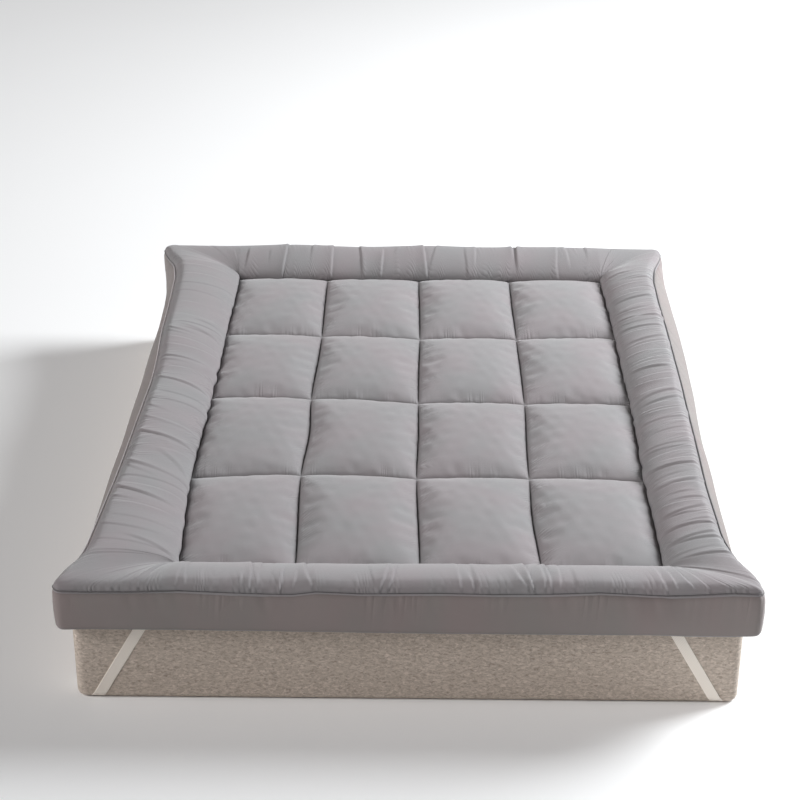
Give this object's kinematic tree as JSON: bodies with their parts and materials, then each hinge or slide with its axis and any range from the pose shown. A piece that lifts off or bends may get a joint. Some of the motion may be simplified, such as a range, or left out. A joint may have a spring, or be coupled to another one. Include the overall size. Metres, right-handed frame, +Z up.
{
  "type": "quilted mattress topper strapped to a mattress",
  "caption": "Thick quilted mattress topper with a padded border roll and upright side band, held on a plain rounded mattress by elastic corner straps.",
  "frame": {"origin": "centre of the bounding box in plan, on the plane that the mattress stands on", "axes": "+Z up out of the quilted face, +Y from the foot end to the head end, +X to the right seen from the foot end"},
  "size_m": [1.5666, 1.9962, 0.34],
  "materials": {
    "topper_cloth": "brushed, soft sheen",
    "band_cloth": "brushed, matt",
    "elastic": "ribbed elastic webbing, matt",
    "mattress_knit": "heathered knit, matt"
  },
  "bodies": {
    "root": {"mattress": "mattress_knit", "quilt_field": "topper_cloth", "border_roll": "topper_cloth", "side_band": "band_cloth", "seam_welt": "topper_cloth", "strap_foot_left": "elastic", "strap_foot_right": "elastic", "strap_head_left": "elastic", "strap_head_right": "elastic"}
  },
  "joints": []
}
